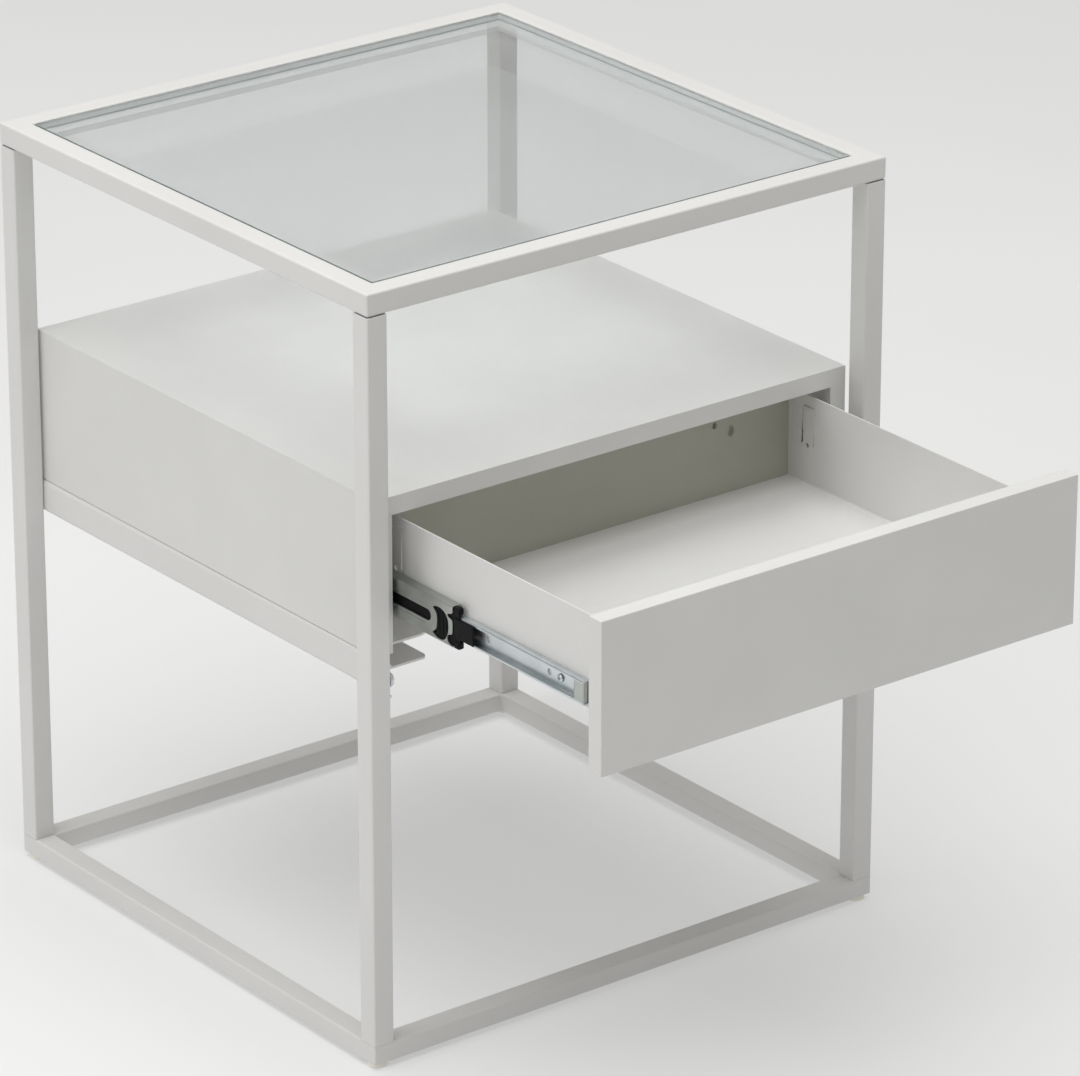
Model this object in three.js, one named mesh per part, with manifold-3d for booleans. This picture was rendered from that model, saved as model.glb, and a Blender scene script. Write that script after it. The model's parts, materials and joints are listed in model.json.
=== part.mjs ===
// Side table: a welded square-tube frame, a glass top, and a hanging cabinet with one drawer on
// ball-bearing slides. Millimetres, +Z up, front at -Y. The drawer is modelled pulled out to its stop.
import * as THREE from 'three';
import { mergeVertices } from 'three/addons/utils/BufferGeometryUtils.js';
import Module from 'manifold-3d';

const wasm = await Module();
wasm.setup();

// ---- driving dimensions ----
const WIDTH = 400;
const DEPTH = 391;
const HEIGHT = 511;
const GAP = 0.3;               // clearance between touching pieces
const THROUGH = 10;            // length of a cutter that goes through a sheet

const TUBE = 15;               // square tube of the frame
const WALL = 1.2;
const TUBE_RADIUS = 1.5;
const TOP_TUBE_HEIGHT = 14.5;
const BASE_TUBE_HEIGHT = 13;
const TOP_SEAM = 0.8;          // open seam between the leg tops and the top ring

const FOOT_DIAMETER = 13;
const FOOT_HEIGHT = 3.5;
const STEM_DIAMETER = 5;

const GLASS = 5;
const GLASS_EDGE_GAP = 0.6;
const LEDGE_WIDTH = 10;
const LEDGE_THICKNESS = 2;

const BOARD = 12;              // cabinet panels and drawer front
const BOX_HALF_WIDTH = 183.4;
const BOX_TOP = 371;
const BOX_BOTTOM = 268.6;
const BOX_FRONT = -179.5;
const BOX_BACK = 185;
const BACK_BOARD = 5;

const RAIL_TOP = 268.3;        // folded rails that carry the cabinet
const RAIL_HEIGHT = 22;
const RAIL_SHEET = 1.5;
const RAIL_FLANGE = 56;
const RAIL_FLANGE_SETBACK = 28;
const RAIL_CORNER = 13;

const TRAVEL = 202.5;          // how far out the drawer stands
const DRAWER_FRONT_TOP = 367.5;
const DRAWER_FRONT_BOTTOM = 269;
const DRAWER_HALF_WIDTH = 161.8;
const DRAWER_DEPTH = 235;
const DRAWER_TOP = 353.2;
const DRAWER_BOTTOM = 292.6;
const DRAWER_SHEET = 1;
const TAB_LENGTH = 13;           // tab cut free on three edges near the back of each drawer side
const TAB_HEIGHT = 26.5;
const TAB_SETBACK = 13;
const TAB_DROP = 7;
const TAB_SLIT = 1;
const TAB_HOLE_RADIUS = 1.3;

const SLIDE_LENGTH = 200;
const SLIDE_CENTRE = 304.5;
const SLIDE_SETBACK = 22;        // front end of the closed slide behind the cabinet's front edge
const SLIDE_SHEET = 1;
const SLIDE_THICKNESS = 9.2;     // from the outer web's back to the inner web's back
const OUTER_LIP = 1.6;
const LIP = 1.4;
const OUTER_HEIGHT = 35;
const MIDDLE_HEIGHT = 27;
const INNER_HEIGHT = 16;
const MIDDLE_LENGTH = 172;
const MIDDLE_SETBACK = 22.5;      // closed middle member behind the outer member's front end
const OUTER_BALL = 2.4;
const INNER_BALL = 3;
const BALL_PITCH = 13;
const BALL_COUNT = 4;

// ---- colours and materials ----
const finish = (colour, roughness, metalness) =>
  () => new THREE.MeshStandardMaterial({ color: colour, roughness, metalness });
const powderCoat = finish(0xdedcd8, 0.55, 0.1);
const board = finish(0xdfdedb, 0.6, 0);
const zinc = finish(0xb4bab8, 0.35, 0.9);
const steel = finish(0x9a9c9c, 0.35, 0.9);
const blackPlastic = finish(0x15161a, 0.5, 0);
const softPlastic = finish(0xe6dfc6, 0.5, 0);
const glass = () => new THREE.MeshStandardMaterial({
  color: 0xcdd6d3, roughness: 0.05, metalness: 0, transparent: true, opacity: 0.35,
});

// ---- scene graph: the origin is on the floor, at the centre of the open table's footprint ----
const group = new THREE.Group();
const table = new THREE.Group();
table.position.y = TRAVEL / 2;
group.add(table);

function place(name, geometry, material, parent = table) {
  const mesh = new THREE.Mesh(geometry, material());
  mesh.name = name;
  parent.add(mesh);
  return mesh;
}

// ---- geometry helpers ----
function positionsOnly(geometry) {
  geometry.deleteAttribute('normal');
  geometry.deleteAttribute('uv');
  return mergeVertices(geometry, 1e-4);
}

function solid(geometry) {
  const merged = positionsOnly(geometry);
  return new wasm.Manifold(new wasm.Mesh({
    numProp: 3,
    vertProperties: new Float32Array(merged.attributes.position.array),
    triVerts: new Uint32Array(merged.index.array),
  }));
}

function toGeometry(manifold) {
  const mesh = manifold.getMesh();
  const geometry = new THREE.BufferGeometry();
  geometry.setAttribute('position', new THREE.BufferAttribute(mesh.vertProperties, 3));
  geometry.setIndex(new THREE.BufferAttribute(mesh.triVerts, 1));
  return geometry;
}

const cut = (body, ...tools) =>
  toGeometry(tools.reduce((rest, tool) => rest.subtract(solid(tool)), solid(body)));

const join = (...pieces) => toGeometry(pieces.map(solid).reduce((whole, piece) => whole.add(piece)));

// Box from its lowest to its highest corner.
function block(low, high) {
  const size = high.map((value, axis) => value - low[axis]);
  const middle = high.map((value, axis) => (value + low[axis]) / 2);
  return new THREE.BoxGeometry(...size).translate(...middle);
}

function cylinder(radius, length, segments = 12) {
  return new THREE.CylinderGeometry(radius, radius, length, segments).rotateX(Math.PI / 2);
}

function roundedRectangle(width, height, radius) {
  const shape = new THREE.Shape();
  const x = width / 2;
  const y = height / 2;
  shape.moveTo(-x + radius, -y);
  shape.lineTo(x - radius, -y);
  shape.absarc(x - radius, -y + radius, radius, -Math.PI / 2, 0);
  shape.lineTo(x, y - radius);
  shape.absarc(x - radius, y - radius, radius, 0, Math.PI / 2);
  shape.lineTo(-x + radius, y);
  shape.absarc(-x + radius, y - radius, radius, Math.PI / 2, Math.PI);
  shape.lineTo(-x, -y + radius);
  shape.absarc(-x + radius, -y + radius, radius, Math.PI, Math.PI * 1.5);
  return shape;
}

// Section extruded along Z, centred on the origin.
function extrude(shape, length, curveSegments = 3) {
  const options = { depth: length, bevelEnabled: false, curveSegments };
  return new THREE.ExtrudeGeometry(shape, options).translate(0, 0, -length / 2);
}

// Square tube along Z with an open bore.
function tube(width, height, length) {
  const shape = roundedRectangle(width, height, TUBE_RADIUS);
  const [x, y] = [width / 2 - WALL, height / 2 - WALL];
  const bore = [[-x, -y], [-x, y], [x, y], [x, -y]];
  shape.holes.push(new THREE.Path(bore.map(([u, v]) => new THREE.Vector2(u, v))));
  return extrude(shape, length);
}

// Closed outline of a folded strip: its centre line thickened by half the sheet to each side.
function strip(points, sheet) {
  const line = points.map(([x, y]) => new THREE.Vector2(x, y));
  const normalOf = (from, to) => new THREE.Vector2(from.y - to.y, to.x - from.x).normalize();
  const offsets = line.map((point, index) => {
    const before = index > 0 ? normalOf(line[index - 1], point) : null;
    const after = index < line.length - 1 ? normalOf(point, line[index + 1]) : null;
    if (!before || !after) return (before || after).clone().multiplyScalar(sheet / 2);
    const bisector = before.clone().add(after).normalize();
    return bisector.multiplyScalar(sheet / 2 / bisector.dot(before));
  });
  const left = line.map((point, index) => point.clone().add(offsets[index]));
  const right = line.map((point, index) => point.clone().sub(offsets[index]));
  return new THREE.Shape([...left, ...right.reverse()]);
}

// A screw or bolt along Z: head above z = 0, shank below it.
function screw(headRadius, headHeight, shankRadius, shankLength, domed = false) {
  const socket = headRadius * 0.45;
  const socketFloor = headHeight * 0.45;
  const shoulder = headRadius * (domed ? 0.62 : 0.94);
  const rim = headHeight * (domed ? 0.35 : 0.75);
  const profile = [
    [0, socketFloor], [socket, socketFloor], [socket, headHeight],
    [shoulder, headHeight], [headRadius, rim], [headRadius, 0],
    [shankRadius, 0], [shankRadius, -shankLength], [0, -shankLength],
  ].reverse();
  return new THREE.LatheGeometry(profile.map(([x, y]) => new THREE.Vector2(x, y)), 12).rotateX(Math.PI / 2);
}

const SIDES = [['left', -1], ['right', 1]];
const CORNERS = [
  ['front_left', -1, -1], ['front_right', 1, -1], ['back_left', -1, 1], ['back_right', 1, 1],
];
const LEG_X = WIDTH / 2 - TUBE / 2;
const LEG_Y = DEPTH / 2 - TUBE / 2;
const BASE_TOP = FOOT_HEIGHT + BASE_TUBE_HEIGHT;
const RING_BOTTOM = HEIGHT - TOP_TUBE_HEIGHT;
const LEG_BOTTOM = BASE_TOP + GAP;
const LEG_TOP = RING_BOTTOM - TOP_SEAM;

// A left-hand piece as it is, or turned into its right-hand mirror image.
function sided(geometry, side) {
  if (side < 0) return geometry;
  const mirrored = positionsOnly(geometry).scale(-1, 1, 1);
  const { array } = mirrored.index;
  for (let i = 0; i < array.length; i += 3) {
    const first = array[i];
    array[i] = array[i + 1];
    array[i + 1] = first;
  }
  return mirrored;
}

// ---- top ring and base ring: four mitred tubes each ----
// One tube along Y with its outer face at -X and its ends cut at 45 degrees.
function mitredTube(length, height, holes) {
  const outer = length / 2 + GAP / 2;
  const inner = length / 2 - TUBE - 1.5 * GAP;
  const edge = TUBE / 2 + GAP;
  const plan = new THREE.Shape([
    new THREE.Vector2(-edge, -outer), new THREE.Vector2(edge, -inner),
    new THREE.Vector2(edge, inner), new THREE.Vector2(-edge, outer),
  ]);
  const section = tube(TUBE, height, length).rotateX(Math.PI / 2);
  const mitred = solid(section).intersect(solid(extrude(plan, 2 * height)));
  return toGeometry(holes.reduce((body, hole) => body.subtract(solid(hole)), mitred));
}

function ring(prefix, height, bottom, withStemHoles) {
  const rails = [
    ['left', DEPTH, -LEG_X, 0], ['front', WIDTH, 0, -LEG_Y],
    ['right', DEPTH, LEG_X, 0], ['back', WIDTH, 0, LEG_Y],
  ];
  rails.forEach(([side, length, x, y], quarterTurns) => {
    const holes = [-1, 1].map((end) => cylinder(STEM_DIAMETER / 2 + GAP, 3 * WALL)
      .translate(0, end * (length / 2 - TUBE / 2), -height / 2));
    const geometry = mitredTube(length, height, withStemHoles ? holes : []);
    const rail = place(`${prefix}_${side}`, geometry, powderCoat);
    rail.position.set(x, y, bottom + height / 2);
    rail.rotation.z = quarterTurns * Math.PI / 2;
  });
}

ring('top_rail', TOP_TUBE_HEIGHT, RING_BOTTOM, false);
ring('base_rail', BASE_TUBE_HEIGHT, FOOT_HEIGHT, true);

// ---- glass top on its ledge ----
const OPENING_X = WIDTH / 2 - TUBE;
const OPENING_Y = DEPTH / 2 - TUBE;
const GLASS_TOP = HEIGHT - 0.4;
const LEDGE_TOP = GLASS_TOP - GLASS - GAP;
const LEDGE_BOTTOM = LEDGE_TOP - LEDGE_THICKNESS;

const ledgeBar = (halfLength, distance) =>
  block([-halfLength, -distance, LEDGE_BOTTOM], [halfLength, -distance + LEDGE_WIDTH, LEDGE_TOP]);
const ledges = [
  ['front', OPENING_X - GAP, OPENING_Y - GAP], ['right', OPENING_Y - LEDGE_WIDTH - 2 * GAP, OPENING_X - GAP],
  ['back', OPENING_X - GAP, OPENING_Y - GAP], ['left', OPENING_Y - LEDGE_WIDTH - 2 * GAP, OPENING_X - GAP],
];
ledges.forEach(([side, halfLength, distance], quarterTurns) => {
  place(`ledge_${side}`, ledgeBar(halfLength, distance), powderCoat).rotation.z = quarterTurns * Math.PI / 2;
});

const GLASS_X = OPENING_X - GLASS_EDGE_GAP;
const GLASS_Y = OPENING_Y - GLASS_EDGE_GAP;
place('glass_top', extrude(roundedRectangle(2 * GLASS_X, 2 * GLASS_Y, 2), GLASS), glass)
  .position.z = GLASS_TOP - GLASS / 2;

// ---- legs, and the spigots that join them to the top ring ----
const LEG_WALL_X = WIDTH / 2 - TUBE;          // inner face of a leg, which the rail lies against
const RAIL_BOLT_Z = 257.3;
const RAIL_BOLT_RADIUS = 3;
const BOLT_HEAD_RADIUS = 5;
const SPIGOT = TUBE - 2 * WALL - 2 * GAP;
const SPIGOT_LENGTH = 26;

for (const [name, x, y] of CORNERS) {
  const length = LEG_TOP - LEG_BOTTOM;
  const middle = (LEG_TOP + LEG_BOTTOM) / 2;
  const boltHole = cylinder(RAIL_BOLT_RADIUS + GAP, 3 * WALL).rotateY(Math.PI / 2)
    .translate(-x * (TUBE / 2 - WALL / 2), 0, RAIL_BOLT_Z - middle);
  place(`leg_${name}`, cut(tube(TUBE, TUBE, length), boltHole), powderCoat)
    .position.set(x * LEG_X, y * LEG_Y, middle);
  place(`spigot_${name}`, extrude(roundedRectangle(SPIGOT, SPIGOT, 1), SPIGOT_LENGTH), steel)
    .position.set(x * LEG_X, y * LEG_Y, RING_BOTTOM - GAP - SPIGOT_LENGTH / 2);
}

// ---- feet: a glide with a stem that plugs into the base ring ----
for (const [name, x, y] of CORNERS) {
  const radius = FOOT_DIAMETER / 2;
  const profile = [
    [0, 0], [radius - 0.8, 0], [radius, 0.8], [radius, FOOT_HEIGHT - GAP],
    [STEM_DIAMETER / 2, FOOT_HEIGHT - GAP], [STEM_DIAMETER / 2, FOOT_HEIGHT + 5], [0, FOOT_HEIGHT + 6],
  ].map(([r, z]) => new THREE.Vector2(r, z));
  place(`foot_${name}`, new THREE.LatheGeometry(profile, 18).rotateX(Math.PI / 2), softPlastic)
    .position.set(x * LEG_X, y * LEG_Y, 0);
}

// ---- folded rails bolted between the legs ----
const RAIL_WEB = LEG_WALL_X - GAP;            // outer face of the web
const RAIL_HALF_LENGTH = DEPTH / 2 - 4;

function rail(side) {
  const half = RAIL_SHEET / 2;
  const [top, bottom] = [RAIL_TOP - half, RAIL_TOP - RAIL_HEIGHT + half];
  const folded = strip([
    [-RAIL_WEB + RAIL_FLANGE, top], [-RAIL_WEB + half, top],
    [-RAIL_WEB + half, bottom], [-RAIL_WEB + RAIL_FLANGE, bottom],
  ], RAIL_SHEET);
  const body = extrude(folded, 2 * RAIL_HALF_LENGTH).rotateX(Math.PI / 2);
  const flangeEnd = RAIL_HALF_LENGTH - RAIL_FLANGE_SETBACK;
  const webInside = -RAIL_WEB + RAIL_SHEET + GAP;
  const plan = roundedRectangle(2 * (RAIL_FLANGE - RAIL_SHEET - GAP), 2 * flangeEnd, RAIL_CORNER);
  const flanges = extrude(plan, 2 * HEIGHT, 5).translate(webInside, 0, 0);
  const web = block([-WIDTH, -DEPTH, 0], [webInside, DEPTH, HEIGHT]);
  const trimmed = toGeometry(solid(body).intersect(solid(flanges).add(solid(web))));
  const holes = [-LEG_Y, LEG_Y].map((y) => cylinder(RAIL_BOLT_RADIUS + GAP, THROUGH).rotateY(Math.PI / 2)
    .translate(-RAIL_WEB, y, RAIL_BOLT_Z));
  return sided(cut(trimmed, ...holes), side);
}
for (const [name, side] of SIDES) place(`side_rail_${name}`, rail(side), powderCoat);

// Screw turned so that its head faces the table's centre line and its shank points outwards in X.
const outwards = (geometry, x) => geometry.rotateY(x < 0 ? Math.PI / 2 : -Math.PI / 2);

for (const [name, x, y] of CORNERS) {
  place(`rail_bolt_${name}`, outwards(screw(BOLT_HEAD_RADIUS, 4, RAIL_BOLT_RADIUS, 12, true), x), zinc)
    .position.set(x * (RAIL_WEB - RAIL_SHEET - GAP), y * LEG_Y, RAIL_BOLT_Z);
}

// ---- cabinet: top and side panels mitred together, and a back panel between the sides ----
const BOX_DEPTH = BOX_BACK - BOX_FRONT;
const BOX_MIDDLE_Y = (BOX_BACK + BOX_FRONT) / 2;
const PANEL_INNER_X = BOX_HALF_WIDTH - BOARD;
const panelOutline = (points) => new THREE.Shape(points.map(([x, z]) => new THREE.Vector2(x, z)));
const alongDepth = (shape) => extrude(shape, BOX_DEPTH).rotateX(Math.PI / 2).translate(0, BOX_MIDDLE_Y, 0);

place('cabinet_top', alongDepth(panelOutline([
  [-PANEL_INNER_X + GAP, BOX_TOP - BOARD], [PANEL_INNER_X - GAP, BOX_TOP - BOARD],
  [BOX_HALF_WIDTH - GAP, BOX_TOP], [-BOX_HALF_WIDTH + GAP, BOX_TOP],
])), board);

for (const [name, side] of SIDES) {
  const panel = alongDepth(panelOutline([
    [-BOX_HALF_WIDTH, BOX_BOTTOM], [-PANEL_INNER_X, BOX_BOTTOM],
    [-PANEL_INNER_X, BOX_TOP - BOARD - GAP], [-BOX_HALF_WIDTH, BOX_TOP - GAP],
  ]));
  place(`cabinet_side_${name}`, sided(panel, side), board);
}

place('cabinet_back', block(
  [-PANEL_INNER_X + GAP, BOX_BACK - BACK_BOARD, BOX_BOTTOM],
  [PANEL_INNER_X - GAP, BOX_BACK, BOX_TOP - BOARD - GAP],
), board);

// ---- slides: u is the distance from the cabinet side towards the drawer, v the height ----
const SLIDE_WALL = PANEL_INNER_X - GAP;       // back of the outer member
const OUTER_FRONT = BOX_FRONT + SLIDE_SETBACK;
const MIDDLE_TRAVEL = TRAVEL / 2;
const MIDDLE_FRONT = OUTER_FRONT + MIDDLE_SETBACK - MIDDLE_TRAVEL;
const INNER_FRONT = OUTER_FRONT - TRAVEL;
const INNER_WEB_U = SLIDE_THICKNESS - SLIDE_SHEET / 2;
const MIDDLE_WEB_U = 2.5;
const INNER_LIP_U = 4.6;
const OUTER_LIP_U = INNER_WEB_U - 0.6;
const END_TAB_LENGTH = 10;
const SLOT_START = 25;                        // along the middle member, from its front end
const SLOT_END = 88;
const SLOT_RADIUS = 3.7;
const CUT_OUT_CENTRE = 12;
const CUT_OUT_HALF_LENGTH = 7;
const CUT_OUT_HALF_HEIGHT = 9.5;
const STOP_EAR_LENGTH = 5.5;
const STOP_EAR_U = 7;
const STOP_NOSE_LENGTH = 19.5;
const STOP_NOSE_HALF_HEIGHT = 6.4;
const STOP_PLATE_LENGTH = 18;
const STOP_U = [3.3, 3.8];                    // plastic plate between the middle web and the inner lips
const STOP_NOSE_U = 2.6;
const SLIDE_SCREW_RADIUS = 1.8;
const SLIDE_HOLE_RADIUS = SLIDE_SCREW_RADIUS + GAP;
const OUTER_CAGE_HEIGHT = OUTER_HEIGHT / 2 - SLIDE_SHEET + MIDDLE_HEIGHT / 2;
const INNER_CAGE_HEIGHT = MIDDLE_HEIGHT / 2 - SLIDE_SHEET + INNER_HEIGHT / 2;
const DRAWER_SCREW_Y = [INNER_FRONT + 26, INNER_FRONT + 172];
const SPARE_HOLE_Y = [INNER_FRONT + 37, INNER_FRONT + 96];

const slideX = (u) => -SLIDE_WALL + u;

// C-shaped member of the left slide from front to front + length; the web is at webU.
function member(front, length, height, sheet, webU, flangeU, lip) {
  const half = (height - sheet) / 2;
  const upper = [[flangeU, half - lip], [flangeU, half], [webU, half]];
  const section = lip ? upper : upper.slice(1);
  const lower = section.map(([u, v]) => [u, -v]).reverse();
  const outline = strip([...section, ...lower].map(([u, v]) => [slideX(u), v]), sheet);
  return extrude(outline, length, 1).rotateX(Math.PI / 2).translate(0, front + length / 2, SLIDE_CENTRE);
}

// Box in slide coordinates.
const slideBlock = ([u0, y0, v0], [u1, y1, v1]) =>
  block([slideX(u0), y0, SLIDE_CENTRE + v0], [slideX(u1), y1, SLIDE_CENTRE + v1]);

const crossHole = (radius, u, y) =>
  cylinder(radius, 4).rotateY(Math.PI / 2).translate(slideX(u), y, SLIDE_CENTRE);

const outerMember = () =>
  member(OUTER_FRONT, SLIDE_LENGTH, OUTER_HEIGHT, SLIDE_SHEET, SLIDE_SHEET / 2, OUTER_LIP_U, OUTER_LIP);

// The web has a long slot, and a large rounded cut-out near its front end.
function middleMember() {
  const body = member(
    MIDDLE_FRONT, MIDDLE_LENGTH, MIDDLE_HEIGHT, SLIDE_SHEET, MIDDLE_WEB_U, INNER_WEB_U, LIP,
  );
  const slot = new THREE.Shape();
  slot.absarc(MIDDLE_FRONT + SLOT_START, 0, SLOT_RADIUS, Math.PI / 2, Math.PI * 1.5);
  slot.absarc(MIDDLE_FRONT + SLOT_END, 0, SLOT_RADIUS, -Math.PI / 2, Math.PI / 2);
  const cutOut = new THREE.Shape();
  cutOut.absellipse(
    MIDDLE_FRONT + CUT_OUT_CENTRE, 0, CUT_OUT_HALF_LENGTH, CUT_OUT_HALF_HEIGHT, 0, Math.PI * 2,
  );
  const acrossWeb = (shape) => extrude(shape, 4, 5).rotateX(Math.PI / 2).rotateZ(Math.PI / 2)
    .translate(slideX(MIDDLE_WEB_U), 0, SLIDE_CENTRE);
  return cut(body, acrossWeb(slot), acrossWeb(cutOut));
}

function innerMember() {
  const body = member(INNER_FRONT, SLIDE_LENGTH, INNER_HEIGHT, SLIDE_SHEET, INNER_WEB_U, INNER_LIP_U, LIP);
  const tabHalfHeight = INNER_HEIGHT / 2 - 0.4;
  const endTab = slideBlock(
    [INNER_LIP_U - SLIDE_SHEET / 2, INNER_FRONT, -tabHalfHeight],
    [INNER_WEB_U, INNER_FRONT + END_TAB_LENGTH, tabHalfHeight],
  );
  const holes = [...DRAWER_SCREW_Y, ...SPARE_HOLE_Y].map((y) => crossHole(SLIDE_HOLE_RADIUS, INNER_WEB_U, y));
  return cut(join(body, endTab), ...holes);
}

// Ball cage: a thin U-shaped strip that holds a row of balls in each flange.
function cage(front, height, webU, flangeU, sheet, ballU, ballDiameter) {
  const body = member(front, BALL_PITCH * BALL_COUNT, height, sheet, webU, flangeU, 0);
  const centres = [-1, 1].flatMap((up) => Array.from({ length: BALL_COUNT }, (_, i) =>
    [slideX(ballU), front + BALL_PITCH * (i + 0.5), SLIDE_CENTRE + up * (height - sheet) / 2]));
  const ballAt = (centre) => new THREE.IcosahedronGeometry(ballDiameter / 2, 0).translate(...centre);
  return join(body, ...centres.map(ballAt));
}

// Plastic stop in the middle member's front end: a plate behind the web, a nose that runs forward in
// front of the inner member's lips, and an ear above and below that stands in front of the metal.
function frontStop() {
  const [insideU, lipsideU] = STOP_U;
  const metalFront = MIDDLE_FRONT - GAP;
  const insideV = MIDDLE_HEIGHT / 2 - SLIDE_SHEET - GAP;
  const plate = slideBlock(
    [insideU, MIDDLE_FRONT - STOP_EAR_LENGTH, -insideV],
    [lipsideU, MIDDLE_FRONT + STOP_PLATE_LENGTH, insideV],
  );
  const nose = slideBlock(
    [STOP_NOSE_U, MIDDLE_FRONT - STOP_NOSE_LENGTH, -STOP_NOSE_HALF_HEIGHT],
    [lipsideU, metalFront, STOP_NOSE_HALF_HEIGHT],
  );
  const earV = [INNER_HEIGHT / 2 + 0.5, MIDDLE_HEIGHT / 2];
  const ears = [-1, 1].map((up) => slideBlock(
    [MIDDLE_WEB_U, MIDDLE_FRONT - STOP_EAR_LENGTH, Math.min(up * earV[0], up * earV[1])],
    [STOP_EAR_U, metalFront, Math.max(up * earV[0], up * earV[1])],
  ));
  return join(plate, nose, ...ears);
}

const OUTER_CAGE_FRONT = OUTER_FRONT + 8;
const INNER_CAGE_FRONT = MIDDLE_FRONT + STOP_PLATE_LENGTH + 1;
for (const [name, side] of SIDES) {
  const add = (piece, geometry, material) => place(`slide_${piece}_${name}`, sided(geometry, side), material);
  add('outer', outerMember(), zinc);
  add('middle', middleMember(), zinc);
  add('inner', innerMember(), zinc);
  add('stop', frontStop(), blackPlastic);
  add('outer_cage', cage(OUTER_CAGE_FRONT, OUTER_CAGE_HEIGHT, 1.5, 7, 0.4, 5, OUTER_BALL), zinc);
  add('inner_cage', cage(INNER_CAGE_FRONT, INNER_CAGE_HEIGHT, 3.55, 7.6, 0.5, 6, INNER_BALL), blackPlastic);
}

// ---- drawer ----
const DRAWER_FRONT_Y = -DEPTH / 2 - TRAVEL;
const DRAWER_BOX_FRONT = DRAWER_FRONT_Y + BOARD + GAP;
const DRAWER_BOX_BACK = DRAWER_BOX_FRONT + DRAWER_DEPTH;
const FRONT_SCREWS = [['left', -125], ['middle', 0], ['right', 125]];
const FRONT_SCREW_Z = 325;
const FRONT_SCREW_RADIUS = 2;

const frontScrewHoles = () => FRONT_SCREWS.map(([, x]) => cylinder(FRONT_SCREW_RADIUS + GAP, 2 * BOARD)
  .rotateX(Math.PI / 2).translate(x, DRAWER_BOX_FRONT, FRONT_SCREW_Z));

const frontBoard = block(
  [-BOX_HALF_WIDTH, DRAWER_FRONT_Y, DRAWER_FRONT_BOTTOM],
  [BOX_HALF_WIDTH, DRAWER_FRONT_Y + BOARD, DRAWER_FRONT_TOP],
);
place('drawer_front', cut(frontBoard, ...frontScrewHoles()), board);

// Each side has a tab near its back, cut free by slits at its back, top and front, a small hole at
// the tab's root, and two slide screw holes. The slits narrow towards the tab's upper front corner.
function drawerSide() {
  const outside = -DRAWER_HALF_WIDTH;
  const tabBack = DRAWER_BOX_BACK - TAB_SETBACK;
  const tabRoot = DRAWER_TOP - TAB_DROP - TAB_HEIGHT;
  const slitTip = 0.3 * TAB_SLIT;
  const slit = new THREE.Shape([
    [0, 0], [0, TAB_HEIGHT], [TAB_LENGTH, TAB_HEIGHT], [TAB_LENGTH, 0],
    [TAB_LENGTH - TAB_SLIT, 0], [TAB_LENGTH - slitTip, TAB_HEIGHT - slitTip],
    [TAB_SLIT, TAB_HEIGHT - TAB_SLIT], [TAB_SLIT, 0],
  ].map(([back, up]) => new THREE.Vector2(tabBack - back, tabRoot + up)));
  const slitCutter = extrude(slit, THROUGH).rotateX(Math.PI / 2).rotateZ(Math.PI / 2).translate(outside, 0, 0);
  const holeAt = (radius, y, z) => cylinder(radius, THROUGH).rotateY(Math.PI / 2).translate(outside, y, z);
  const rootHole = holeAt(TAB_HOLE_RADIUS, tabBack - 0.42 * TAB_LENGTH, tabRoot - 0.5);
  const slideHoles = DRAWER_SCREW_Y.map((y) => holeAt(SLIDE_HOLE_RADIUS, y, SLIDE_CENTRE));
  const wall = block(
    [outside, DRAWER_BOX_FRONT, DRAWER_BOTTOM],
    [outside + DRAWER_SHEET, DRAWER_BOX_BACK, DRAWER_TOP],
  );
  return cut(wall, slitCutter, rootHole, ...slideHoles);
}
for (const [name, side] of SIDES) place(`drawer_side_${name}`, sided(drawerSide(), side), powderCoat);

// The end walls and the bottom fit between the sides.
const INSIDE_X = DRAWER_HALF_WIDTH - DRAWER_SHEET - GAP;
const endWall = (y) => block([-INSIDE_X, y, DRAWER_BOTTOM], [INSIDE_X, y + DRAWER_SHEET, DRAWER_TOP]);
place('drawer_back', endWall(DRAWER_BOX_BACK - DRAWER_SHEET), powderCoat);
place('drawer_inner_front', cut(endWall(DRAWER_BOX_FRONT), ...frontScrewHoles()), powderCoat);
place('drawer_bottom', block(
  [-INSIDE_X, DRAWER_BOX_FRONT + DRAWER_SHEET + GAP, DRAWER_BOTTOM],
  [INSIDE_X, DRAWER_BOX_BACK - DRAWER_SHEET - GAP, DRAWER_BOTTOM + DRAWER_SHEET],
), powderCoat);

for (const [name, x] of FRONT_SCREWS) {
  const geometry = screw(4, 2, FRONT_SCREW_RADIUS, 9, true).rotateX(-Math.PI / 2);
  place(`front_screw_${name}`, geometry, zinc)
    .position.set(x, DRAWER_BOX_FRONT + DRAWER_SHEET + GAP, FRONT_SCREW_Z);
}

// Pan heads in the inner members' channels, shanks pointing into the drawer.
for (const [name, x] of SIDES) {
  DRAWER_SCREW_Y.forEach((y, index) => {
    place(`slide_screw_${name}_${index + 1}`, outwards(screw(2.6, 1.3, SLIDE_SCREW_RADIUS, 2.2), -x), zinc)
      .position.set(x * (SLIDE_WALL - SLIDE_THICKNESS + SLIDE_SHEET + GAP), y, SLIDE_CENTRE);
  });
}

export default group;
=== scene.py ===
"""Side table with a drawer: the visual model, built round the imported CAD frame.

Metres, +Z up, front at -Y. The drawer stands open, as in the CAD frame's rest pose.
"""

import json
import math

import bmesh
import bpy
from mathutils import Matrix, Vector
from mathutils.geometry import tessellate_polygon

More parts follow.
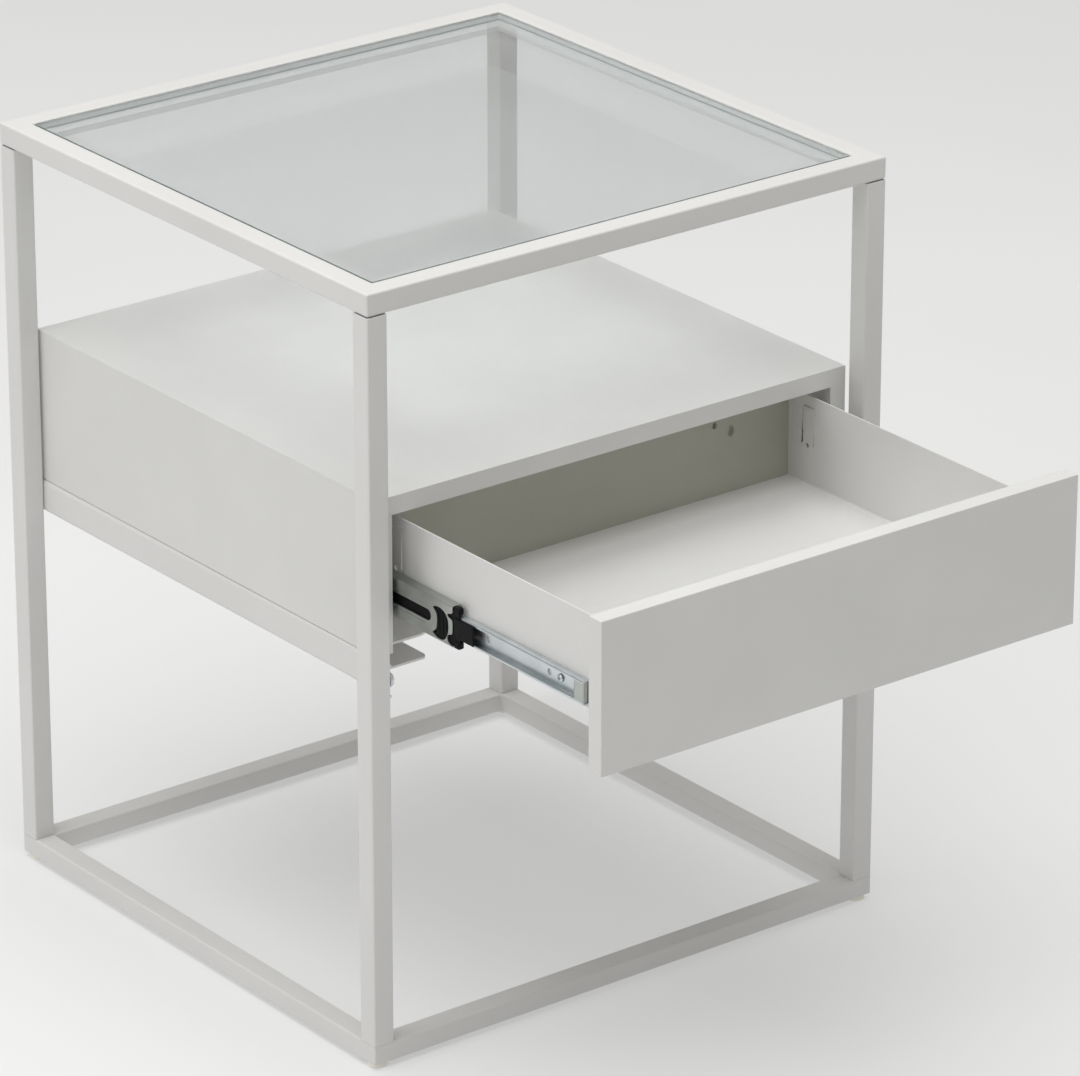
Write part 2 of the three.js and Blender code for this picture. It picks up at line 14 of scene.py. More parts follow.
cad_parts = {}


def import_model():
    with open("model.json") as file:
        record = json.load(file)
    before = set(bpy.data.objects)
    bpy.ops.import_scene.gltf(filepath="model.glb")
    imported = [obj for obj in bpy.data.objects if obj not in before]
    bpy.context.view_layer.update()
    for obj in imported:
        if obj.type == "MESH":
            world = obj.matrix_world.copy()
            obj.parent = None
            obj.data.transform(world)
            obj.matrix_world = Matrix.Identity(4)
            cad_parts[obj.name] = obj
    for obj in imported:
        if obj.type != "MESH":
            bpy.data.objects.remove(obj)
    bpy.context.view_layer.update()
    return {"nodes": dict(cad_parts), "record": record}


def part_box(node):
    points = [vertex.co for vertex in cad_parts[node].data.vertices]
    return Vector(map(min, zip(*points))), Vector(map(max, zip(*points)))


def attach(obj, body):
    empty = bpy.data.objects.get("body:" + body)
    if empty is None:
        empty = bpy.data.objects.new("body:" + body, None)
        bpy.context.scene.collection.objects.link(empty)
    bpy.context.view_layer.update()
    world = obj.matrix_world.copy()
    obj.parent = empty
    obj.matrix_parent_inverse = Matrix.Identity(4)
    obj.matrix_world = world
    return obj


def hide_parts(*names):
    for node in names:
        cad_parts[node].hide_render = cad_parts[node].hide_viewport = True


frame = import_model()

MM = 0.001
SIDES = (("left", -1), ("right", 1))
CORNERS = (("front_left", -1), ("front_right", 1), ("back_left", -1), ("back_right", 1))


# ---- materials ----
NOISE_RANGE = (0.3, 0.7)  # most of a noise texture's values lie in it


class Look:
    """A Principled material with shorthand for the texture nodes that feed it."""

    def __init__(self, name, **sockets):
        self.material = bpy.data.materials.new(name)
        self.material.use_nodes = True
        self.nodes = self.material.node_tree.nodes
        self.links = self.material.node_tree.links
        self.shader = self.nodes["Principled BSDF"]
        self.place = self.nodes.new("ShaderNodeTexCoord").outputs["Object"]
        self.normal = None
        for socket, value in sockets.items():
            self.shader.inputs[socket.replace("_", " ")].default_value = value

    def noise(self, scale, detail, stretch=(1, 1, 1)):
        """Noise with about `scale` bumps to the metre, drawn out along an axis by a stretch below 1."""
        mapping = self.nodes.new("ShaderNodeMapping")
        mapping.inputs["Scale"].default_value = stretch
        texture = self.nodes.new("ShaderNodeTexNoise")
        texture.inputs["Scale"].default_value = scale
        texture.inputs["Detail"].default_value = detail
        self.links.new(self.place, mapping.inputs["Vector"])
        self.links.new(mapping.outputs["Vector"], texture.inputs["Vector"])
        return texture.outputs["Fac"]

    def spots(self, scale):
        """Distance to the nearest of `scale` scattered points to the metre."""
        texture = self.nodes.new("ShaderNodeTexVoronoi")
        texture.inputs["Scale"].default_value = scale
        self.links.new(self.place, texture.inputs["Vector"])
        return texture.outputs["Distance"]

    def colour(self, source, dark, light):
        """Base colour from a noise, between two (red, green, blue) shades."""
        ramp = self.nodes.new("ShaderNodeValToRGB")
        for element, position, shade in zip(ramp.color_ramp.elements, NOISE_RANGE, (dark, light)):
            element.position = position
            element.color = (*shade, 1)
        self.links.new(source, ramp.inputs["Fac"])
        self.links.new(ramp.outputs["Color"], self.shader.inputs["Base Color"])

    def roughness(self, source, low, high):
        """Roughness from a noise, between low and high."""
        spread = self.nodes.new("ShaderNodeMapRange")
        spread.inputs["From Min"].default_value = NOISE_RANGE[0]
        spread.inputs["From Max"].default_value = NOISE_RANGE[1]
        spread.inputs["To Min"].default_value = low
        spread.inputs["To Max"].default_value = high
        self.links.new(source, spread.inputs["Value"])
        self.links.new(spread.outputs["Result"], self.shader.inputs["Roughness"])

    def bump(self, source, height, strength):
        """Raises the surface by up to `height` metres; a later bump adds to an earlier one."""
        node = self.nodes.new("ShaderNodeBump")
        node.inputs["Distance"].default_value = height
        node.inputs["Strength"].default_value = strength
        self.links.new(source, node.inputs["Height"])
        if self.normal:
            self.links.new(self.normal, node.inputs["Normal"])
        self.normal = node.outputs["Normal"]
        self.links.new(self.normal, self.shader.inputs["Normal"])


def powder_coat(name, dark, light):
    """Satin powder coat: a fine orange-peel surface and a faintly cloudy colour."""
    look = Look(name, Specular_IOR_Level=0.45)
    look.colour(look.noise(9, 4), dark, light)
    look.roughness(look.noise(260, 3), 0.36, 0.5)
    look.bump(look.noise(420, 3), 0.1 * MM, 0.5)
    look.bump(look.noise(1700, 2), 0.035 * MM, 0.5)
    return look.material


def white_board():
    """Painted board with a fine grain and specks."""
    look = Look("white_board", Specular_IOR_Level=0.4)
    look.colour(look.noise(14, 5), (0.685, 0.682, 0.668), (0.715, 0.712, 0.698))
    look.roughness(look.noise(500, 3), 0.42, 0.56)
    look.bump(look.noise(650, 4), 0.035 * MM, 0.5)
    look.bump(look.spots(1500), 0.02 * MM, 0.35)
    return look.material


def glass():
    """Clear pane with a green-blue tint, faintly wiped."""
    look = Look("glass", Transmission_Weight=1.0, IOR=1.5, Specular_IOR_Level=0.5, Alpha=0.4)
    look.colour(look.noise(3, 2), (0.85, 0.93, 0.95), (0.87, 0.945, 0.965))
    look.roughness(look.noise(25, 5), 0.0, 0.03)
    return look.material


def shaded_ground_glass():
    """Matt ground chamfer along the pane's edges; its dark colour is painted shade, for the gap that the
    edge stands in.
    """
    look = Look("shaded_ground_glass", Specular_IOR_Level=0.2)
    look.colour(look.noise(200, 3), (0.10, 0.125, 0.12), (0.15, 0.18, 0.175))
    look.roughness(look.noise(900, 3), 0.45, 0.65)
    look.bump(look.noise(1800, 2), 0.03 * MM, 0.5)
    return look.material


def foot_plastic():
    """Milky plastic of the push-in feet."""
    look = Look("foot_plastic", Subsurface_Weight=0.1, Subsurface_Scale=1 * MM, Specular_IOR_Level=0.45)
    look.colour(look.noise(120, 3), (0.87, 0.85, 0.75), (0.9, 0.88, 0.8))
    look.roughness(look.noise(700, 2), 0.34, 0.48)
    look.bump(look.noise(900, 2), 0.03 * MM, 0.4)
    return look.material


def rolled_metal(name, dark, light, low, high):
    """Sheet metal with fine rolling lines along Y and a faint cloudy plating."""
    look = Look(name, Metallic=1.0)
    look.colour(look.noise(55, 5), dark, light)
    look.roughness(look.noise(350, 4, (1, 0.04, 1)), low, high)
    look.bump(look.noise(900, 3, (1, 0.03, 1)), 0.02 * MM, 0.5)
    look.bump(look.noise(300, 3), 0.03 * MM, 0.3)
    return look.material


def black_plastic():
    """Dull black moulding."""
    look = Look("black_plastic", Specular_IOR_Level=0.12)
    look.colour(look.noise(80, 3), (0.004, 0.004, 0.005), (0.009, 0.009, 0.010))
    look.roughness(look.noise(600, 3), 0.4, 0.6)
    look.bump(look.noise(1500, 2), 0.03 * MM, 0.5)
    return look.material


FINISHES = {
    "powder_coat": powder_coat("powder_coat", (0.685, 0.68, 0.667), (0.715, 0.71, 0.697)),
    # inner_coat: a darker, olive coat for the drawer's back wall; its darkness is painted shade, for the
    # shade under the cabinet top
    "inner_coat": powder_coat("inner_coat", (0.42, 0.42, 0.355), (0.45, 0.45, 0.385)),
    "white_board": white_board(),
    "glass": glass(),
    "shaded_ground_glass": shaded_ground_glass(),
    "foot_plastic": foot_plastic(),
    "zinc": rolled_metal("zinc", (0.61, 0.65, 0.67), (0.71, 0.75, 0.765), 0.3, 0.46),
    # darker zinc whose darkness is painted shade: for the outer and middle members in the shade inside the
    # slide, and the inner member's end tab
    "shaded_zinc": rolled_metal("shaded_zinc", (0.42, 0.445, 0.42), (0.52, 0.545, 0.515), 0.3, 0.46),
    "steel": rolled_metal("steel", (0.42, 0.43, 0.44), (0.52, 0.53, 0.54), 0.3, 0.5),
    "black_plastic": black_plastic(),
}
NODE_FINISH = {part["node"]: part["material_slot"] for part in frame["record"]["subparts"]}


# ---- mesh helpers ----
SHARP_ANGLE = 40  # degrees: shading breaks at edges that turn more
ROUNDED_ANGLE = 30  # degrees: round_edges works on edges that turn more
SHEET_ANGLE = 50  # degrees: the cut edges of a sheet turn more


def span(*nodes):
    """Lowest and highest corner of several CAD nodes together."""
    boxes = [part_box(node) for node in nodes]
    low = Vector([min(b[0][axis] for b in boxes) for axis in range(3)])
    high = Vector([max(b[1][axis] for b in boxes) for axis in range(3)])
    return low, high


def make_piece(name, bm, finish, body, stands_for=()):
    """Turns bm into a named piece that rides on a body and stands for CAD nodes."""
    mesh = bpy.data.meshes.new(name)
    bm.to_mesh(mesh)
    bm.free()
    mesh.materials.append(FINISHES[finish])
    piece = bpy.data.objects.new(name, mesh)
    bpy.context.scene.collection.objects.link(piece)
    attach(piece, body)
    if stands_for:
        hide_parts(*stands_for)
    shade(piece)
    return piece


def shade(piece):
    """Smooth shading that stays flat on the flat faces and breaks at the sharp edges."""
    piece.data.shade_smooth()
    piece.data.set_sharp_from_angle(angle=math.radians(SHARP_ANGLE))
    normals = piece.modifiers.new("flat_faces", "WEIGHTED_NORMAL")
    normals.keep_sharp = True
    normals.weight = 100


def apply_modifiers(piece):
    """Replaces the mesh by the shape its modifiers make."""
    evaluated = piece.evaluated_get(bpy.context.evaluated_depsgraph_get())
    mesh = bpy.data.meshes.new_from_object(evaluated)
    piece.modifiers.clear()
    piece.data = mesh


def face_out(bm):
    """The same closed bmesh with its faces turned outwards."""
    bmesh.ops.recalc_face_normals(bm, faces=bm.faces)
    return bm


def round_edges(bm, radius, segments, only=None):
    """Rounds the sharp edges, or those of them that `only` accepts."""
    chosen = [
        edge
        for edge in bm.edges
        if len(edge.link_faces) == 2
        and edge.calc_face_angle(0) > math.radians(ROUNDED_ANGLE)
        and (only is None or only(edge))
    ]
    bmesh.ops.bevel(
        bm, geom=chosen, offset=radius, segments=segments, profile=0.5, affect="EDGES", clamp_overlap=True
    )
    return bm


def merge(*parts):
    """One bmesh from several."""
    whole = bmesh.new()
    for part in parts:
        mesh = bpy.data.meshes.new("part")
        part.to_mesh(mesh)
        part.free()
        whole.from_mesh(mesh)
        bpy.data.meshes.remove(mesh)
    return whole


def prism(outline, start, end, place):
    """Solid between two copies of a flat outline; place(a, b, t) puts a point of it in space."""
    bm = bmesh.new()
    first, last = ([bm.verts.new(place(a, b, t)) for a, b in outline] for t in (start, end))
    bm.faces.new(first)
    bm.faces.new(last)
    for i in range(len(outline)):
        bm.faces.new((first[i - 1], first[i], last[i], last[i - 1]))
    return face_out(bm)


def slab(low, high, radius, segments=2):
    """Box with rounded edges."""
    corners = [(low[0], low[1]), (high[0], low[1]), (high[0], high[1]), (low[0], high[1])]
    bm = prism(corners, low[2], high[2], lambda x, y, z: (x, y, z))
    return round_edges(bm, radius, segments)


def loft(loops, closed=False):
    """Skin over loops of equal length: joined in a ring if closed, else with a cap at each end."""
    bm = bmesh.new()
    rings = [[bm.verts.new(point) for point in loop] for loop in loops]
    pairs = list(zip(rings, rings[1:]))
    if closed:
        pairs.append((rings[-1], rings[0]))
    else:
        bm.faces.new(rings[0])
        bm.faces.new(rings[-1])
    for a, b in pairs:
        for i in range(len(a)):
            bm.faces.new((a[i - 1], a[i], b[i], b[i - 1]))
    return face_out(bm)


def arc(centre, radius, start, end, steps):
    """Points on a circle; angles in degrees."""
    angles = [math.radians(start + (end - start) * i / steps) for i in range(steps + 1)]
    return [(centre[0] + radius * math.cos(a), centre[1] + radius * math.sin(a)) for a in angles]


def rounded_rectangle(low, high, radius, steps=4):
    """Outline between two corners, anticlockwise from its right-hand side."""
    centres = (
        ((high[0] - radius, high[1] - radius), 0),
        ((low[0] + radius, high[1] - radius), 90),
        ((low[0] + radius, low[1] + radius), 180),
        ((high[0] - radius, low[1] + radius), 270),
    )
    return [point for centre, turn in centres for point in arc(centre, radius, turn, turn + 90, steps)]


def soften(points, closed=True):
    """Outline with its corners cut twice, so that they look round. An open one keeps its two ends."""
    for _ in range(2):
        pairs = list(zip(points, points[1:]))
        ends = (points[0], points[-1])
        if closed:
            pairs.append((points[-1], points[0]))
        points = []
        for (a, b), (c, d) in pairs:
            points.append((0.75 * a + 0.25 * c, 0.75 * b + 0.25 * d))
            points.append((0.25 * a + 0.75 * c, 0.25 * b + 0.75 * d))
        if not closed:
            points = [ends[0], *points, ends[1]]
    return points


def circle(centre, radius, steps=24):
    """Closed loop of points."""
    return arc(centre, radius, 0, 360, steps)[:-1]


def mirrored(points, total):
    """The same loop counted from the other edge of a flat pattern of width `total`."""
    return [(total - s, t) for s, t in points]


# ---- folded sheet metal ----
class Fold:
    """Centre line of a folded sheet. It gives the place in space of a point of the flat pattern."""

    def __init__(self, points, radius, steps=5):
        corners = [Vector(p) for p in points]
        line = [corners[0]]
        bend_ends = []
        for before, corner, after in zip(corners, corners[1:], corners[2:]):
            back, ahead = (before - corner).normalized(), (after - corner).normalized()
            half_turn = back.angle(ahead) / 2
            reach = radius / math.tan(half_turn)
            centre = corner + (back + ahead).normalized() * (radius / math.sin(half_turn))
            first, last = corner + back * reach - centre, corner + ahead * reach - centre
            turn = first.angle_signed(last)
            for i in range(steps + 1):
                line.append(centre + Matrix.Rotation(-turn * i / steps, 2) @ first)
            bend_ends.append((len(line) - 1 - steps, len(line) - 1))
        line.append(corners[-1])
        self.line = line
        self.marks = [0.0]
        for a, b in zip(line, line[1:]):
            self.marks.append(self.marks[-1] + (b - a).length)
        self.length = self.marks[-1]
        self.bends = [(self.marks[a], self.marks[b]) for a, b in bend_ends]

    def at(self, s):
        """The place in space, as (a, b), of distance s along the flat pattern."""
        for i in range(1, len(self.marks)):
            if s <= self.marks[i] or i == len(self.marks) - 1:
                share = (s - self.marks[i - 1]) / (self.marks[i] - self.marks[i - 1])
                return self.line[i - 1].lerp(self.line[i], share)


def folded_sheet(fold, outline, holes, place):
    """Surface from a flat pattern of (s, t) points; place(a, b, t) puts the folded point in space."""
    loops = [[Vector((s, t, 0)) for s, t in loop] for loop in (outline, *holes)]
    points = [point for loop in loops for point in loop]
    bm = bmesh.new()
    verts = [bm.verts.new(point) for point in points]
    for triangle in tessellate_polygon(loops):
        bm.faces.new([verts[i] for i in triangle])
    for mark in fold.marks[1:-1]:
        bmesh.ops.bisect_plane(
            bm,
            geom=bm.verts[:] + bm.edges[:] + bm.faces[:],
            dist=1e-7,
            plane_co=(mark, 0, 0),
            plane_no=(1, 0, 0),
        )
    bmesh.ops.recalc_face_normals(bm, faces=bm.faces)
    for vert in bm.verts:
        a, b = fold.at(vert.co.x)
        vert.co = place(a, b, vert.co.y)
    bmesh.ops.dissolve_limit(
        bm, angle_limit=math.radians(1), verts=bm.verts[:], edges=bm.edges[:], delimit={"NORMAL"}
    )
    return bm


def make_sheet(name, bm, sheet, finish, body, stands_for=(), edge=0.15 * MM):
    """A piece whose surface bm is thickened to a sheet, with its cut edges broken."""
    piece = make_piece(name, bm, finish, body, stands_for)
    piece.modifiers.clear()
    thick = piece.modifiers.new("sheet", "SOLIDIFY")
    thick.thickness = sheet
    thick.offset = 0
    soft = piece.modifiers.new("edges", "BEVEL")
    soft.width = edge
    soft.segments = 2
    soft.limit_method = "ANGLE"
    soft.angle_limit = math.radians(SHEET_ANGLE)
    apply_modifiers(piece)
    shade(piece)
    return piece


def add_shells(piece, shells):
    """Adds loose shells to a finished piece."""
    own = bmesh.new()
    own.from_mesh(piece.data)
    whole = merge(own, *shells)
    whole.to_mesh(piece.data)
    whole.free()
    piece.modifiers.clear()
    shade(piece)


# ---- welded frame ----
TUBE_RADIUS = 1.4 * MM  # of the corners outside
TUBE_INNER_RADIUS = 0.5 * MM
TUBE_WALL = 1.2 * MM
END_BREAK = 0.2 * MM  # chamfer at the ends of the legs
LEDGE_EDGE = 0.3 * MM
GLASS_CORNER = 2 * MM
GLASS_ARRIS = 0.55 * MM
ARRIS_SLOPE = (0.3, 0.95)  # upright share of the normal of an arris face: between the edge's and the top's


def ring(low, high, width):
    """Mitred ring of bars with a rectangular section."""
    bm = bmesh.new()
    loops = []
    for inset in (0, width):
        for z in (low.z, high.z):
            x0, x1, y0, y1 = low.x + inset, high.x - inset, low.y + inset, high.y - inset
            loops.append([bm.verts.new((x, y, z)) for x, y in ((x0, y0), (x1, y0), (x1, y1), (x0, y1))])
    outer_low, outer_high, inner_low, inner_high = loops
    section = (outer_low, outer_high, inner_high, inner_low)
    for a, b in zip(section, (*section[1:], section[0])):
        for i in range(4):
            bm.faces.new((a[i - 1], a[i], b[i], b[i - 1]))
    return face_out(bm)


def bar_ring(name, prefix, radius, segments):
    """Four CAD bars as one welded piece with rounded edges."""
    nodes = [f"{prefix}_{side}" for side in ("front", "back", "left", "right")]
    low, high = span(*nodes)
    bar_low, bar_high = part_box(f"{prefix}_front")
    bm = round_edges(ring(low, high, bar_high.y - bar_low.y), radius, segments)
    make_piece(name, bm, "powder_coat", "frame", nodes)


def leg(corner):
    """Hollow square tube that stands on the base ring, with a flush ground weld at its foot."""
    low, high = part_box(f"leg_{corner}")
    base_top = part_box("base_rail_front")[1].z

    def loop(inset, radius, z):
        corner_low = (low.x + inset, low.y + inset)
        corner_high = (high.x - inset, high.y - inset)
        return [(x, y, z) for x, y in rounded_rectangle(corner_low, corner_high, radius)]

    tube = [
        loop(END_BREAK, TUBE_RADIUS, base_top),
        loop(0, TUBE_RADIUS, base_top + END_BREAK),
        loop(0, TUBE_RADIUS, high.z - END_BREAK),
        loop(END_BREAK, TUBE_RADIUS, high.z),
        loop(TUBE_WALL, TUBE_INNER_RADIUS, high.z),
        loop(TUBE_WALL, TUBE_INNER_RADIUS, base_top),
    ]
    weld = [
        loop(0, TUBE_RADIUS, base_top - TUBE_RADIUS),
        loop(0, TUBE_RADIUS, base_top - 0.5 * END_BREAK),
        loop(END_BREAK, TUBE_RADIUS, base_top),
    ]
    whole = merge(loft(tube, closed=True), loft(weld))
    make_piece(f"leg_tube_{corner}", whole, "powder_coat", "frame", [f"leg_{corner}"])


def glass_top():
    """Pane with ground arrises, which have a dark finish of their own: painted shade of the gap round the
    pane.
    """
    low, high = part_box("glass_top")

    def loop(inset, z):
        corner_low = (low.x + inset, low.y + inset)
        corner_high = (high.x - inset, high.y - inset)
        return [(x, y, z) for x, y in rounded_rectangle(corner_low, corner_high, GLASS_CORNER - inset, 6)]

    bm = loft(
        [
            loop(GLASS_ARRIS, low.z),
            loop(0, low.z + GLASS_ARRIS),
            loop(0, high.z - GLASS_ARRIS),
            loop(GLASS_ARRIS, high.z),
        ]
    )
    pane = make_piece("glass_pane", bm, "glass", "frame", ["glass_top"])
    pane.data.materials.append(FINISHES["shaded_ground_glass"])
    for face in pane.data.polygons:
        if ARRIS_SLOPE[0] < abs(face.normal.z) < ARRIS_SLOPE[1]:
            face.material_index = 1


bar_ring("top_rail_ring", "top_rail", TUBE_RADIUS, 4)
bar_ring("base_rail_ring", "base_rail", TUBE_RADIUS, 4)
bar_ring("glass_ledge", "ledge", LEDGE_EDGE, 2)
glass_top()
for corner, _ in CORNERS:
    leg(corner)


# ---- turned parts: feet, bolts and screws ----
RECESS_TAPER = ((1.0, 0), (0.93, 0.15), (0.86, 1))  # share of the recess's reach, share of its depth
HEAD_LIP = 0.25  # share of a domed head's height that is upright
HEAD_TURN = 62  # degrees of the dome
THREAD_DEPTH = 0.3 * MM
THREAD_PITCH = 0.8 * MM
FOOT_STEM = 2.5 * MM


def turned(profile, segments, recess=None):
    """Solid of revolution about Z. profile is (radius, height) from the bottom up.

    recess is (reach(angle), depth): a socket sunk into the top cap.
    """
    angles = [2 * math.pi * i / segments for i in range(segments)]
    rings = [[(r * math.cos(a), r * math.sin(a), z) for a in angles] for r, z in profile]
    if recess:
        reach, depth = recess
        for shrink, sunk in RECESS_TAPER:
            z = profile[-1][1] - sunk * depth
            spokes = [(shrink * reach(a), a) for a in angles]
            rings.append([(r * math.cos(a), r * math.sin(a), z) for r, a in spokes])
    return loft(rings)


def hexagon(across):
    """Reach of a hexagon socket at an angle."""
    return lambda angle: across / 2 / math.cos((angle % (math.pi / 3)) - math.pi / 6)


def cross(arm, width):
    """Reach of a cross recess at an angle."""

    def reach(angle):
        turn = abs((angle + math.pi / 4) % (math.pi / 2) - math.pi / 4)
        return min(arm, width / 2 / max(math.sin(turn), 1e-6)) if turn < math.pi / 4 else width

    return reach


def up_to(facing):
    """Rotation that turns +Z to the unit vector `facing`."""
    return Vector((0, 0, 1)).rotation_difference(facing).to_matrix().to_4x4()


def domed_head(radius, height, steps=6):
    """Profile of a domed head above z = 0, up to a small flat."""
    lip = HEAD_LIP * height
    points = [(radius - 0.2 * MM, 0), (radius, 0.2 * MM), (radius, lip)]
    for i in range(1, steps + 1):
        turn = math.radians(HEAD_TURN * i / steps)
        rise = (height - lip) * math.sin(turn) / math.sin(math.radians(HEAD_TURN))
        points.append((radius * math.cos(turn), lip + rise))
    return points


def screw(name, node, body, facing, head_height, shank, recess):
    """A zinc screw in its node's box, with its head facing along the unit vector `facing`."""
    low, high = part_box(node)
    facing = Vector(facing)
    centre, half = (low + high) / 2, (high - low) / 2
    reach, head = abs(half.dot(facing)), half.z
    length = 2 * reach - head_height
    root = shank - THREAD_DEPTH
    thread = []
    for number in range(int(length / THREAD_PITCH) - 1):
        z = -length + number * THREAD_PITCH
        thread += [(root, z), (shank, z + 0.5 * THREAD_PITCH)]
    neck = [(root, -0.3 * MM), (root, 0)]
    profile = [(0.4 * shank, -length), *thread, *neck, *domed_head(head, head_height)]
    bm = turned(profile, 36, recess)
    bm.transform(Matrix.Translation(centre + facing * (reach - head_height)) @ up_to(facing))
    make_piece(name, face_out(bm), "zinc", body, [node])


def foot(corner):
    """Push-in foot: a slightly hollow sole, a rounded side, a rim just under the base ring, and a stem."""
    low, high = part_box(f"foot_{corner}")
    radius = (high.x - low.x) / 2
    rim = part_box("base_rail_front")[0].z - 0.05 * MM
    profile = [
        (0.35 * radius, 0.15 * MM),
        (radius - 1.6 * MM, 0.05 * MM),
        (radius - 1.0 * MM, 0),
        (radius - 0.6 * MM, 0.1 * MM),
        (radius - 0.2 * MM, 0.45 * MM),
        (radius, 1.0 * MM),
        (radius, rim - 0.5 * MM),
        (radius - 0.15 * MM, rim - 0.15 * MM),
        (radius - 0.5 * MM, rim),
        (FOOT_STEM, rim),
        (FOOT_STEM, high.z - 1.0 * MM),
        (0.5 * FOOT_STEM, high.z),
    ]
    bm = turned(profile, 48)
    bm.transform(Matrix.Translation(((low.x + high.x) / 2, (low.y + high.y) / 2, 0)))
    make_piece(f"glide_{corner}", face_out(bm), "foot_plastic", "frame", [f"foot_{corner}"])


# Height of the head, radius of the shank, and the recess.
RAIL_BOLT = (4 * MM, 3 * MM, (hexagon(3 * MM), 2 * MM))
SLIDE_SCREW = (1.3 * MM, 1.8 * MM, (cross(1.6 * MM, 0.7 * MM), 0.8 * MM))
FRONT_SCREW = (2 * MM, 2 * MM, (cross(2.3 * MM, 0.9 * MM), 1.2 * MM))
FRONT_SCREWS = ("left", "middle", "right")

for corner, x in CORNERS:
    foot(corner)
    screw(f"bolt_{corner}", f"rail_bolt_{corner}", "frame", (-x, 0, 0), *RAIL_BOLT)
for side, x in SIDES:
    for number in (1, 2):
        name = f"pan_screw_{side}_{number}"
        screw(name, f"slide_screw_{side}_{number}", "drawer", (x, 0, 0), *SLIDE_SCREW)
for place in FRONT_SCREWS:
    screw(f"drawer_front_screw_{place}", f"front_screw_{place}", "drawer", (0, 1, 0), *FRONT_SCREW)


# ---- side rails ----
RAIL_SHEET = 1.5 * MM
RAIL_BEND = 2.2 * MM
UPPER_FLANGE = (26 * MM, 13 * MM)  # set back from the rail's ends, corner radius
LOWER_FLANGE = (34.5 * MM, 4 * MM)
BOLT_HOLE = 3.3 * MM


def side_rail(side, sign):
    """Channel with both flanges towards the middle, cut back and rounded at their ends."""
    node = f"side_rail_{side}"
    low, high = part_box(node)
    half = RAIL_SHEET / 2
    width, top, bottom = high.x - low.x, high.z - half, low.z + half
    web = low.x if sign < 0 else high.x
    fold = Fold([(width, top), (half, top), (half, bottom), (width, bottom)], RAIL_BEND)
    upper, lower = fold.bends[0][0], fold.bends[1][1]

    def flange(setback, r):
        front, back = low.y + setback, high.y - setback
        return [
            (lower, low.y),
            (lower, front),
            *arc((fold.length - r, front + r), r, -90, 0, 8),
            *arc((fold.length - r, back - r), r, 0, 90, 8),
            (lower, back),
            (lower, high.y),
        ]

    outline = flange(*LOWER_FLANGE) + list(reversed(mirrored(flange(*UPPER_FLANGE), upper + lower)))
    holes = []
    for end in ("front", "back"):
        bolt_low, bolt_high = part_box(f"rail_bolt_{end}_{side}")
        bolt = (bolt_low + bolt_high) / 2
        holes.append(circle((fold.bends[0][1] + top - RAIL_BEND - bolt.z, bolt.y), BOLT_HOLE))
    bm = folded_sheet(fold, outline, holes, lambda a, b, t: (web - sign * a, t, b))
    make_sheet(f"folded_rail_{side}", bm, RAIL_SHEET, "powder_coat", "frame", [node])


for side, sign in SIDES:
    side_rail(side, sign)


# ---- cabinet ----
BOARD_EDGE = 0.5 * MM
BACK_BOARD_EDGE = 0.3 * MM
MITRE_GAP = 0.03 * MM


def mitred_board(name, node, profile, on_mitre):
    """Board along the cabinet's depth, with its edges broken except where it meets its neighbour."""
    low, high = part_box(node)
    bm = prism(profile, low.y, high.y, lambda a, b, t: (a, t, b))
    round_edges(bm, BOARD_EDGE, 3, only=lambda edge: not all(on_mitre(vert.co) for vert in edge.verts))
    make_piece(name, bm, "white_board", "frame", [node])


def cabinet():
    """Top and two sides mitred at 45 degrees, so that the outer corner is one soft edge, and a back."""
    low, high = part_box("cabinet_top")
    board, r = high.z - low.z, BOARD_EDGE
    left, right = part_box("cabinet_side_left")[0].x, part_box("cabinet_side_right")[1].x
    middle, reach = (left + right) / 2, (right - left) / 2
    crest = [(reach - r + a, high.z - r + b) for a, b in arc((0, 0), r, 0, 90, 8)]
    side_crest, top_crest = crest[:5], crest[4:]

    def on_mitre(point):
        depth_in = reach - abs(point.x - middle)
        return abs(depth_in - (high.z - point.z)) < 4 * MITRE_GAP or (depth_in < r and high.z - point.z < r)

    def inside_corner(depth):
        return reach - board, low.z - depth

    half_top = [(a - MITRE_GAP, b) for a, b in [inside_corner(0), *top_crest]]
    top = [(middle + a, b) for a, b in half_top] + [(middle - a, b) for a, b in reversed(half_top)]
    mitred_board("cabinet_top_board", "cabinet_top", top, on_mitre)
    for side, sign in SIDES:
        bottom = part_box(f"cabinet_side_{side}")[0].z
        half_side = [inside_corner(MITRE_GAP), *((a, b - MITRE_GAP) for a, b in reversed(side_crest))]
        half_side += [(reach, bottom), (reach - board, bottom)]
        panel = [(middle + sign * a, b) for a, b in half_side]
        mitred_board(f"cabinet_side_board_{side}", f"cabinet_side_{side}", panel, on_mitre)
    back = slab(*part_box("cabinet_back"), BACK_BOARD_EDGE)
    make_piece("cabinet_back_board", back, "white_board", "frame", ["cabinet_back"])


cabinet()


# ---- slides: u is the distance from the cabinet side, v the height about the slide's centre line ----
SLIDE_SHEET = 1.0 * MM
SLIDE_BEND = 0.9 * MM
LIPS = {"outer": 1.6 * MM, "middle": 1.4 * MM, "inner": 1.4 * MM}
